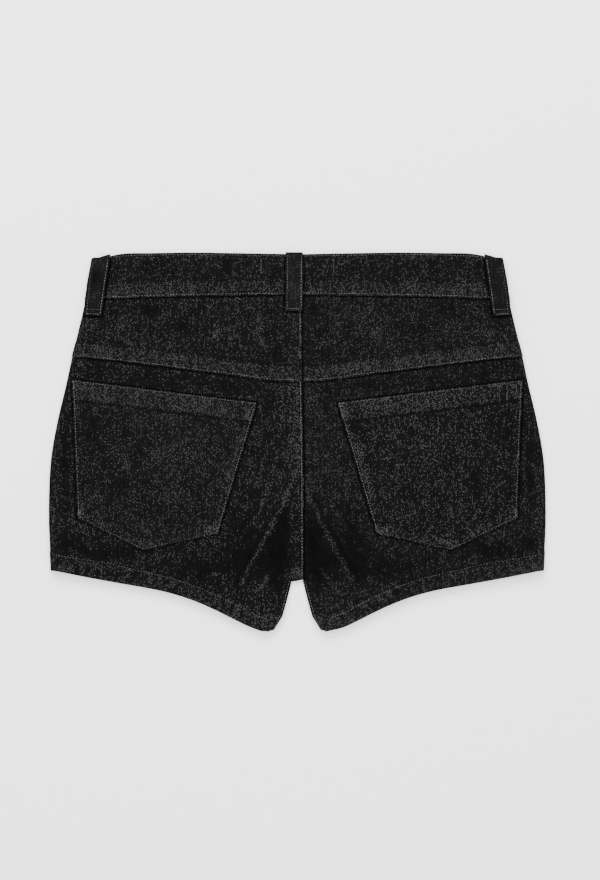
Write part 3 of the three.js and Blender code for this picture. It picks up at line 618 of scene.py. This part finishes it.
EDGE_ROW = (2.45, 1.9, 0.5)  # pitch, length and width of topstitching
SEAM_ROW = (2.45, 1.5, 0.35)
FAINT_ROW = (2.45, 1.5, 0.24)
HEM_LINE = [
    (20, -159.6), (25, -161), (38.3, -157.9), (51.9, -151.6), (67.1, -144), (91.4, -133.6),
    (112.6, -127.4), (143, -121.8), (176.4, -115.9), (199.2, -111.4), (210, -109.2),
]
HEM_ROW = [
    (17.5, -148.6), (23.4, -151.4), (38, -146.0), (60.2, -134.0),
    (84, -123.4), (105.8, -115.8), (162.2, -102.8), (209, -95.4),
]
YOKE_SEAM = [(0, 51), (21.7, 51.8), (67.1, 57.9), (127.9, 65.5), (184, 71.8), (192, 72.2)]
CENTRE_SEAM = [(5.2, -117.4), (5.2, -60), (4.9, -20), (4.3, 20), (3.6, 70), (3.6, 124.5)]
INSIDE_LEG = [(4.6, -117.4), (7, -127.2), (9.5, -137), (12.4, -147), (16.3, -156)]
POCKET = {  # its corners
    "outer_top": (191.2, 53.0),
    "inner_top": (34.0, 33.4),
    "inner_bottom": (67.2, -78.0),
    "tip": (131.0, -92.0),
    "outer_bottom": (186.8, -64.8),
}
POCKET_ROUND = ("outer_top", "outer_bottom", "tip", "inner_bottom", "inner_top", "outer_top")
POCKET_OUTLINE = [POCKET[name] for name in POCKET_ROUND]


def back_panel_form(half):
    def height(x, y):
        up = back_creases(x, y)
        above_hem, along = from_line(mirrored(HEM_LINE, half), x, y)
        above_hem = above_hem * half
        in_hem = 1 - fade(11, 17, above_hem)
        slant = along + 0.35 * above_hem
        up += 0.30 * uneven(slant, 9.5, 1.3 + half) * in_hem * fade(-2, 4, above_hem)
        up += 0.12 * uneven(slant, 4.7, 2.9 - half) * in_hem
        up -= 0.35 * np.exp(-(((above_hem - 14.6) / 1.2) ** 2))
        from_centre, up_seam = from_line(CENTRE_SEAM, x, y)
        beside = np.exp(-((np.abs(from_centre) / 14) ** 2))
        up += 0.13 * uneven(up_seam, 7.5, 4.1 + half) * beside
        if half < 0:
            up -= 0.22 * np.exp(-(((from_centre - 1.8) / 1.0) ** 2))
            up -= 0.30 * np.exp(-(((from_centre - 13.2) / 1.6) ** 2))
        else:
            up -= 0.35 * np.exp(-(((from_centre + 2.2) / 2.0) ** 2))
        from_yoke, along_yoke = from_line(mirrored(YOKE_SEAM, half), x, y)
        up += 0.10 * uneven(along_yoke, 8.5, 0.7) * np.exp(-((from_yoke / 7) ** 2))
        return up

    return height


DENIM = make_denim("washed_black_denim")
for side, half in (("left", -1), ("right", 1)):
    panel = cloth_from(f"back_panel_{side}", f"seat_{side}", 3)
    raise_cloth(panel, back_panel_form(half))
    hem_strip = mirrored(HEM_LINE, half)[::half]
    strips = [(hem_strip, 0.0, 13.5, 0.07, 0.12)]
    pocket_edge = mirrored(POCKET_OUTLINE, half)
    covers = [(pocket_edge[4:] + pocket_edge[1:2], 0.0), (pocket_edge[3:5], 0.0), (pocket_edge[1:4], 1.1)]
    covers.append((mirrored(YOKE_SEAM, half), 0.0))
    if half < 0:
        strips.append((CENTRE_SEAM[2:], 0.0, 11.5, 0.13, 0.03))
    else:
        covers.append((CENTRE_SEAM, -0.5))
    paint_wear_and_shade(panel, strips, SEAT_FADE_AND_SHADE, covers)
    lay_flat(panel, 10 + 5 * half)
    panel.data.materials.append(DENIM)
    rows = [(mirrored(HEM_ROW[:3], half), *SEAM_ROW), (mirrored(HEM_ROW[2:], half), *FAINT_ROW)]
    if half < 0:
        rows.append(([(x - 1.2, y) for x, y in CENTRE_SEAM[:-1]], *EDGE_ROW))
    rows.append((mirrored([(x + 1.9, y) for x, y in INSIDE_LEG], half), 2.4, 1.7, 0.4))
    sewing = sew(f"seat_sewing_{side}", panel, rows)
    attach(panel, "root")
    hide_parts(f"back_panel_{side}")


# Patch pockets: cut from the same denim, the top edge hemmed, the rest turned in and topstitched to the seat.
# Their lower corners and the point have gone pale with wear.
POCKET_WASH = (
    {"at": (115, -8), "size": (40, 28), "amount": 0.06},
    {"at": (84, 33), "size": (26, 6), "amount": 0.1},
    {"at": (40, 26), "size": (4.5, 8), "amount": 0.12},
    {"at": (49.5, 27), "size": (2, 8), "amount": -0.22},
    {"at": (184, -60), "size": (5, 5), "amount": 0.36},
    {"at": (75, -74), "size": (7, 4), "amount": 0.34},
    {"at": (128, -86), "size": (9, 5), "amount": 0.18},
    {"at": (182, 46), "size": (6, 7), "amount": 0.15},
    {"at": (174, 10), "size": (12, 16), "amount": -0.14},
    {"at": (152, -34), "size": (6, 10), "amount": -0.16},
    {"at": (134, -12), "size": (5, 14), "amount": -0.12},
)
POCKET_HEM_DEPTH = 16.2
POCKET_ROW = (2.45, 1.8, 0.42)


def inside(corner, toward, step):
    """A corner of the pocket, moved in by step towards another point."""
    (x0, y0), (x1, y1) = corner, toward
    length = math.hypot(x1 - x0, y1 - y0)
    return (x0 + (x1 - x0) * step / length, y0 + (y1 - y0) * step / length)


def pocket_form(half):
    mouth = mirrored([POCKET["inner_top"], POCKET["outer_top"]], half)

    def height(x, y):
        up = back_creases(x, y)
        from_edge, along = from_line(POCKET_OUTLINE[:-1], np.abs(x), y)
        from_edge = np.abs(from_edge)
        up += 0.10 * uneven(along, 7.8, 2.2 + half) * np.exp(-((from_edge / 6) ** 2))
        up -= 0.20 * np.exp(-(((from_edge - 1.3) / 0.8) ** 2))
        up += 0.22 * np.exp(-(((from_edge - 4.5) / 3.0) ** 2))
        from_mouth, along_mouth = from_line(mouth, x, y)
        from_mouth = -from_mouth * half
        in_hem = 1 - fade(12, 18, from_mouth)
        up += 0.16 * uneven(along_mouth + 0.4 * from_mouth, 10.5, 5.2 - half) * in_hem
        up -= 0.30 * np.exp(-(((from_mouth - POCKET_HEM_DEPTH - 0.8) / 1.3) ** 2))
        return up

    return height


for side, half in (("left", -1), ("right", 1)):
    pocket = cloth_from(f"pocket_{side}", f"patch_pocket_{side}", 3)
    raise_cloth(pocket, pocket_form(half))
    mouth = mirrored([POCKET["inner_top"], POCKET["outer_top"]], half)
    bottom = mirrored([POCKET["outer_bottom"], POCKET["tip"], POCKET["inner_bottom"]], half)[::half]
    strips = [(mouth[::-half], 0.0, POCKET_HEM_DEPTH - 0.4, 0.16, 0.06), (bottom[::-1], 0.0, 7.0, 0.05, 0.03)]
    # This strip is a painted shade in the groove under the pocket's hem.
    strips.append((mouth[::-half], POCKET_HEM_DEPTH + 0.4, POCKET_HEM_DEPTH + 2.4, -0.16, 0.0))
    paint_wear_and_shade(pocket, strips, POCKET_WASH)
    lay_flat(pocket, 30 + 5 * half)
    pocket.data.materials.append(DENIM)
    middle = (120, -10)
    top_outer, low_outer, low_tip, low_inner, top_inner = (
        inside(POCKET[name], middle, step)
        for name, step in (
            ("outer_top", 1.9), ("outer_bottom", 1.9), ("tip", 1.4), ("inner_bottom", 1.7), ("inner_top", 1.9)))
    rows = [
        (mirrored([top_outer, low_outer], half), *POCKET_ROW),
        (mirrored([low_outer, low_tip, low_inner], half), *FAINT_ROW),
        (mirrored([low_inner, top_inner], half), *POCKET_ROW),
        (mirrored([top_inner, top_outer], half), *FAINT_ROW),
    ]
    sewing = sew(f"pocket_sewing_{side}", pocket, rows)
    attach(pocket, "root")
    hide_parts(f"pocket_{side}")


# Yokes: the shaped pieces between the seat and the waistband, cut from the same denim and felled over the seat's
# top edge with a row of topstitching close to the fold.
CENTRE_LOOP = [(-9.9, 160), (-9.9, 110.9), (4.6, 110.9), (4.6, 160)]
SIDE_LOOP = [(158.8, 158), (166, 107), (181, 107.6)]
BAND_SEAM = [(0, 124.8), (67.1, 124), (127.9, 122.8), (158, 121.5), (177, 121.0)]


def yoke_form(half):
    def height(x, y):
        up = back_creases(x, y)
        from_yoke, along_yoke = from_line(mirrored(YOKE_SEAM, half)[::half], x, y)
        near = np.exp(-(((from_yoke - 5) / 9) ** 2))
        up += 0.16 * uneven(along_yoke + 0.3 * from_yoke, 8.7, 3.3 + half) * near
        up -= 0.22 * np.exp(-(((from_yoke - 1.5) / 0.9) ** 2))
        up -= 0.14 * np.exp(-(((from_yoke - 12.8) / 2.0) ** 2))
        from_centre, up_seam = from_line(CENTRE_SEAM, x, y)
        up += 0.12 * uneven(up_seam, 7.0, 1.1 + half) * np.exp(-((np.abs(from_centre) / 13) ** 2))
        if half < 0:
            up -= 0.22 * np.exp(-(((from_centre - 1.2) / 0.9) ** 2))
            up -= 0.25 * np.exp(-(((from_centre - 13.2) / 1.6) ** 2))
        return up

    return height


for side, half in (("left", -1), ("right", 1)):
    yoke = cloth_from(f"yoke_{side}", f"back_yoke_{side}", 3)
    raise_cloth(yoke, yoke_form(half))
    seam = mirrored(YOKE_SEAM, half)[::half]
    # The first strip is wear on the raised fell; the second is a painted shade in the groove along its inner edge.
    strips = [(seam, 0.0, 12.2, 0.15, 0.06), (seam, 13.2, 15.5, -0.06, 0.0)]
    covers = [(mirrored(BAND_SEAM, half), 0.3), (CENTRE_LOOP, 0.0), (mirrored(SIDE_LOOP, half), -0.4)]
    if half < 0:
        strips.append((CENTRE_SEAM, 0.0, 11.5, 0.05, 0.03))
    else:
        covers.append((CENTRE_SEAM, -0.3))
    paint_wear_and_shade(yoke, strips, SEAT_FADE_AND_SHADE, covers)
    lay_flat(yoke, 50 + 5 * half)
    yoke.data.materials.append(DENIM)
    rows = [(mirrored([(x, y + 1.7) for x, y in YOKE_SEAM], half), *SEAM_ROW)]
    if half < 0:
        rows.append(([(x - 1.2, y) for x, y in CENTRE_SEAM[-2:]], *EDGE_ROW))
    sewing = sew(f"yoke_sewing_{side}", yoke, rows)
    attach(yoke, "root")
    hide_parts(f"yoke_{side}")


# Front panels: underneath, face down on the table, with their hems just inside the back ones. The left one laps over
# the right one, and the fly is topstitched in a curve.
FRONT_HEM = [(21, -146), (38, -140), (60, -129), (84, -118.5), (106, -111.5), (150, -102), (188, -95.5)]
FRONT_CREASES = (
    {"line": [(10, -60), (24, -80), (44, -104)], "height": 0.6, "width": 3.0},
    {"line": [(30, -52), (60, -70), (96, -84)], "height": 0.5, "width": 4.0},
    {"line": [(60, -40), (104, -36), (150, -44)], "height": 0.35, "width": 4.5},
    {"line": [(130, 40), (160, 34), (186, 40)], "height": 0.4, "width": 4.0},
)
FLY_EDGE = [(4.8, 95), (4.8, -20), (2.5, -45), (-1.9, -62), (-1.9, -112)]
FLY_CURVE = [(-33, 96), (-33, 5), (-31, -12), (-24, -28), (-12, -42), (-2, -52)]


def front_form(x, y):
    m = np.abs(x)
    up = np.zeros(x.shape)
    for number, crease in enumerate(FRONT_CREASES):
        shift = np.where(x < 0, 0.0, 3.0 * math.sin(number + 1))
        distance, along = from_line(crease["line"], m, y + shift)
        length = math.dist(crease["line"][0], crease["line"][-1])
        ends = fade(0, 16, along) * (1 - fade(length - 16, length, along))
        up += crease["height"] * np.exp(-((distance / crease["width"]) ** 2)) * ends
    for row in (mirrored(FRONT_HEM, -1), FRONT_HEM, FLY_EDGE, FLY_CURVE):
        up += 0.34 * np.exp(-((from_line(row, x, y)[0] / 1.4) ** 2))
    return up


for side, half in (("left", -1), ("right", 1)):
    front = cloth_from(f"front_panel_{side}", f"front_{side}", 2)
    raise_cloth(front, front_form, all_round=True)
    hem = mirrored(FRONT_HEM, half)[::half]
    paint_wear_and_shade(front, [(hem, -16.0, 0.0, 0.08, 0.1)])
    lay_flat(front, 70 + 5 * half)
    front.data.materials.append(DENIM)
    rows = [(mirrored(FRONT_HEM, half), *EDGE_ROW)]
    if half < 0:
        rows += [(FLY_EDGE, *EDGE_ROW), (FLY_CURVE, *EDGE_ROW)]
    sewing = sew(f"front_sewing_{side}", front, rows, below=True)
    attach(front, "root")
    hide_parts(f"front_panel_{side}")


# Waistband: one long strip folded double, topstitched along both edges, its ends lapped and buttoned in front.
# Its lower third is padded out by the seam allowances inside it, and there are two short upright rows of stitching.
BAND_TOP = [
    (0, 159), (57.4, 160.3), (91.4, 160.7), (125.4, 160.1), (154, 159),
    (159, 157.6), (163.5, 156.3), (168, 154.8), (173, 154.6),
]
band_seam = mirrored(BAND_SEAM, -1)[:0:-1] + BAND_SEAM
band_top = mirrored(BAND_TOP, -1)[:0:-1] + BAND_TOP
BAND_WASH = (
    {"at": (80, 147), "size": (70, 9), "amount": -0.06},
    {"at": (0, 129), "size": (16, 5), "amount": 0.08},
    {"at": (100, 129), "size": (18, 5), "amount": 0.08},
    {"at": (150, 130), "size": (12, 6), "amount": 0.08},
)


def waistband_form(x, y):
    up = 0.6 * back_creases(x, y)
    from_seam, along = from_line(band_seam, x, y)
    up += 0.14 * uneven(along, 9.3, 2.6) * np.exp(-(((from_seam - 6) / 7) ** 2))
    up -= 0.20 * np.exp(-(((from_seam - 1.5) / 0.9) ** 2))
    up -= 0.16 * np.exp(-(((from_seam - 13.6) / 2.2) ** 2)) * (0.7 + 0.3 * np.sin(along / 31))
    from_top, along_top = from_line(band_top, x, y)
    from_top = -from_top
    up -= 0.18 * np.exp(-(((from_top - 1.7) / 0.9) ** 2))
    up += 0.09 * uneven(along_top, 12, 0.4) * np.exp(-(((from_top - 9) / 9) ** 2))
    return up


waistband = cloth_from("waistband", "waistband_strip", 3)
raise_cloth(waistband, waistband_form)
loop_sides = [(CENTRE_LOOP, 0.0), (SIDE_LOOP, -0.6), (mirrored(SIDE_LOOP, -1), -0.6)]
# The first strip is wear on the padded band; the second is a painted shade in the groove along its upper edge.
band_strips = [(band_seam, 0.0, 12.0, 0.11, 0.06), (band_seam, 12.8, 15.0, -0.04, 0.0)]
paint_wear_and_shade(waistband, band_strips, BAND_WASH, loop_sides)
lay_flat(waistband, 90, front_below=7.9)
waistband.data.materials.append(DENIM)
band_rows = [
    ([(x, y + 1.5) for x, y in band_seam], *SEAM_ROW),
    ([(x, y - 1.6) for x, y in band_top], *SEAM_ROW),
    ([(-30.7, 155.6), (-30.7, 142.9)], 1.9, 1.3, 0.4),
    ([(31, 155.6), (31, 142.9)], 1.9, 1.3, 0.4),
]
band_sewing = sew("waistband_sewing", waistband, band_rows)
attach(waistband, "root")
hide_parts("waistband")


# Belt loops: narrow folded strips of the same denim, stitched down both edges and fixed with bar tacks at the top
# and the bottom. Two more like them sit underneath, on the front of the waistband.
LOOPS = (
    {"node": "belt_loop_centre", "clear": [(3.2, 112), (3.4, 158.6)], "faint": [(-8.5, 112), (-8.3, 158.6)],
     "bars": [[(-9.0, 113.2), (3.6, 112.4)]]},
    {"node": "belt_loop_left", "clear": [(-167.2, 108.6), (-160.4, 154.6)], "faint": [(-178.6, 109), (-173.6, 153.6)],
     "bars": [[(-178.8, 112.6), (-167.6, 112.2)], [(-178.9, 108.9), (-167.4, 108.2)]]},
    {"node": "belt_loop_right", "clear": [(167.2, 108.6), (160.4, 154.6)], "faint": [(178.6, 109), (173.6, 153.6)],
     "bars": [[(178.8, 112.6), (167.6, 112.2)], [(178.9, 108.9), (167.4, 108.2)]]},
)
LOOP_WASH = (
    {"at": (-3, 127), "size": (9, 9), "amount": 0.12},
    {"at": (-3, 150), "size": (14, 10), "amount": -0.2},
    {"at": (-3, 116), "size": (14, 5), "amount": -0.1},
    {"at": (173, 112), "size": (9, 5), "amount": -0.1},
    {"at": (170, 136), "size": (14, 18), "amount": -0.26},
)
SMOOTH_DENIM = make_denim("smooth_black_denim", ground=1.7, pips=0.6)
for seed, loop in enumerate(LOOPS):
    strip = cloth_from(loop["node"], loop["node"].replace("belt_loop", "carrier"), 3)
    paint_wear_and_shade(strip, (), LOOP_WASH)
    lay_flat(strip, 110 + 5 * seed)
    strip.data.materials.append(SMOOTH_DENIM)
    rows = [(loop["clear"], *EDGE_ROW), (loop["faint"], 2.45, 1.6, 0.26)]
    rows += [(bar, 1.8, 1.2, 0.46) for bar in loop["bars"]]
    sewing = sew(f"{strip.name}_sewing", strip, rows)
    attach(strip, "root")
    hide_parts(loop["node"])

FRONT_LOOP_AT, FRONT_LOOP_ROW = 98, 5.8  # from the middle of the waist, and from the loop's middle to its stitches


def front_loop_form(x, y):
    from_row = np.abs(np.abs(x) - FRONT_LOOP_AT) - FRONT_LOOP_ROW
    return 0.3 * np.exp(-((from_row / 1.6) ** 2))


for side, half in (("left", -1), ("right", 1)):
    strip = cloth_from(f"belt_loop_front_{side}", f"carrier_front_{side}", 1)
    paint_wear_and_shade(strip)
    lay_flat(strip, 130 + 5 * half)
    strip.data.materials.append(SMOOTH_DENIM)
    raise_cloth(strip, front_loop_form, all_round=True)
    edges = [half * FRONT_LOOP_AT - FRONT_LOOP_ROW, half * FRONT_LOOP_AT + FRONT_LOOP_ROW]
    rows = [([(edge, 106), (edge, 151)], *EDGE_ROW) for edge in edges]
    sewing = sew(f"carrier_front_sewing_{side}", strip, rows, below=True)
    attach(strip, "root")
    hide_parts(f"belt_loop_front_{side}")


# Button: a tack button of blackened metal, face down on the table, its shank through the hole in the waistband's
# left end. The cap is pressed from sheet, with a rolled rim, a sunk ring and a low dome in the middle.
BUTTON_AT = (-8, 115.9)
CAP_RADIUS, CAP_LOW, CAP_HIGH = 8.5, 0.8, 2.1
SHANK = ((7.4, 2.1), (2.6, 2.12), (2.6, 4.5), (2.2, 4.8))  # radius and height, from the cap upwards
RINGS = (  # each ring of the face, from the rim inwards: radius, and height above the table
    {"radius": 7.6, "height": 0.05},
    {"radius": 6.9, "height": 0.05},
    {"radius": 6.3, "height": 0.75},
    {"radius": 5.5, "height": 0.75},
    {"radius": 4.9, "height": 0.4},
    {"radius": 2.4, "height": 0.18},
)


def ring_scale(before, after):
    share = after / before
    bpy.ops.transform.resize(value=(share, share, 1))


bpy.ops.object.select_all(action="DESELECT")
cap_middle = (*BUTTON_AT, (CAP_LOW + CAP_HIGH) / 2)
bpy.ops.mesh.primitive_cylinder_add(
    vertices=48, radius=CAP_RADIUS / 1000, depth=(CAP_HIGH - CAP_LOW) / 1000,
    location=[value / 1000 for value in cap_middle])
button = bpy.context.object
button.name = "tack_button"
bpy.ops.object.transform_apply(location=True, rotation=True, scale=True)
bpy.ops.object.mode_set(mode="EDIT")
bpy.ops.mesh.select_mode(type="FACE")


def select_end(piece, downwards):
    bm = bmesh.from_edit_mesh(piece.data)
    end = (min if downwards else max)(bm.faces, key=lambda face: face.calc_center_median().z)
    for face in bm.faces:
        face.select_set(face is end)
    bmesh.update_edit_mesh(piece.data)


select_end(button, downwards=True)
radius, height = CAP_RADIUS, CAP_LOW
for ring in RINGS:
    drop = (ring["height"] - height) / 1000
    bpy.ops.mesh.extrude_region_move(TRANSFORM_OT_translate={"value": (0, 0, drop)})
    ring_scale(radius, ring["radius"])
    radius, height = ring["radius"], ring["height"]
select_end(button, downwards=False)
radius, height = CAP_RADIUS, CAP_HIGH
for ring_radius, ring_height in SHANK:
    bpy.ops.mesh.extrude_region_move(TRANSFORM_OT_translate={"value": (0, 0, (ring_height - height) / 1000)})
    ring_scale(radius, ring_radius)
    radius, height = ring_radius, ring_height
bpy.ops.mesh.select_all(action="SELECT")
bpy.ops.mesh.normals_make_consistent(inside=False)
bpy.ops.object.mode_set(mode="OBJECT")
rounding = button.modifiers.new("rounding", "BEVEL")
rounding.width, rounding.segments, rounding.limit_method = 0.00015, 2, "ANGLE"
bpy.ops.object.modifier_apply(modifier="rounding")
bpy.ops.object.shade_smooth_by_angle(angle=math.radians(40))
gunmetal = Finish("gunmetal", {"Metallic": 1.0})
scuffs = gunmetal.speckle(350.0, 4.0)
gunmetal.feed("Base Color", gunmetal.between(scuffs, (0.02, 0.02, 0.021), (0.09, 0.088, 0.086)))
gunmetal.feed("Roughness", scuffs * 0.3 + 0.25)
button.data.materials.append(gunmetal.material)
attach(button, "root")
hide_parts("button")


# Zip: a woven tape sewn behind the fly, with metal teeth down its middle, closed, and the slider at its top.
# One tooth is made, and all the others are copies of it, left and right in turn.
tape = Finish("zip_tape", {"Roughness": 0.9})
ribs = tape.speckle(1200.0, 2.0)
tape.feed("Base Color", tape.between(ribs, (0.006, 0.006, 0.006), (0.02, 0.02, 0.02)))
tape.bumps(ribs, 0.3, 0.0002)
zip_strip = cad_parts["zip"]
zip_strip.data.materials.clear()
zip_strip.data.materials.append(tape.material)
ZIP_X, ZIP_BOTTOM, ZIP_TOP = -4, -26.5, 86.5
TOOTH_PITCH, TOOTH_SHIFT, TOOTH_SUNK = 1.25, 0.9, 0.2
SLIDER_Y = 91.6


def bevelled_block(name, size, at, width):
    """A metal block with rounded edges. Its size and place are in millimetres."""
    bpy.ops.object.select_all(action="DESELECT")
    bpy.ops.mesh.primitive_cube_add(size=1, location=[value / 1000 for value in at])
    block = bpy.context.object
    block.name = name
    block.scale = [value / 1000 for value in size]
    bpy.ops.object.transform_apply(location=True, rotation=True, scale=True)
    bpy.ops.object.mode_set(mode="EDIT")
    bpy.ops.mesh.select_all(action="SELECT")
    bpy.ops.mesh.bevel(offset=width / 1000, segments=1)
    bpy.ops.object.mode_set(mode="OBJECT")
    block.data.materials.append(gunmetal.material)
    return block


chain = BVHTree.FromObject(zip_strip, bpy.context.evaluated_depsgraph_get())


def chain_height(y):
    """Height of the chain's upper face, in millimetres."""
    hit = chain.ray_cast(Vector((ZIP_X / 1000, y / 1000, 0.02)), Vector((0, 0, -1)))[0]
    return hit.z * 1000


first_tooth = bevelled_block("zip_teeth", (3.3, 0.85, 1.0), (0, 0, 0), 0.16)
tooth_points = np.array([v.co for v in first_tooth.data.vertices])
tooth_faces = [list(face.vertices) for face in first_tooth.data.polygons]
bpy.data.objects.remove(first_tooth)
points, faces = [], []
for number in range(int((ZIP_TOP - ZIP_BOTTOM) / TOOTH_PITCH)):
    y = ZIP_BOTTOM + number * TOOTH_PITCH
    side = 1 if number % 2 else -1
    at = np.array([ZIP_X + side * TOOTH_SHIFT, y, chain_height(y) - TOOTH_SUNK]) / 1000
    faces.extend([len(points) * len(tooth_points) + i for i in face] for face in tooth_faces)
    points.append(tooth_points + at)
teeth_mesh = bpy.data.meshes.new("zip_teeth")
teeth_mesh.from_pydata(np.concatenate(points).tolist(), [], faces)
teeth_mesh.materials.append(gunmetal.material)
teeth = bpy.data.objects.new("zip_teeth", teeth_mesh)
bpy.context.scene.collection.objects.link(teeth)
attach(teeth, "root")

slider = bevelled_block("zip_slider", (7.4, 9.0, 1.5), (ZIP_X, SLIDER_Y, chain_height(SLIDER_Y) + 0.5), 0.5)
bpy.ops.object.mode_set(mode="EDIT")
bpy.ops.mesh.select_all(action="DESELECT")
bm = bmesh.from_edit_mesh(slider.data)
for vertex in bm.verts:  # the end towards the crotch is narrower
    vertex.select_set(vertex.co.y < 0.0895)
bm.select_flush(True)
bmesh.update_edit_mesh(slider.data)
bpy.ops.transform.resize(value=(0.72, 1, 1))
bpy.ops.object.mode_set(mode="OBJECT")
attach(slider, "root")
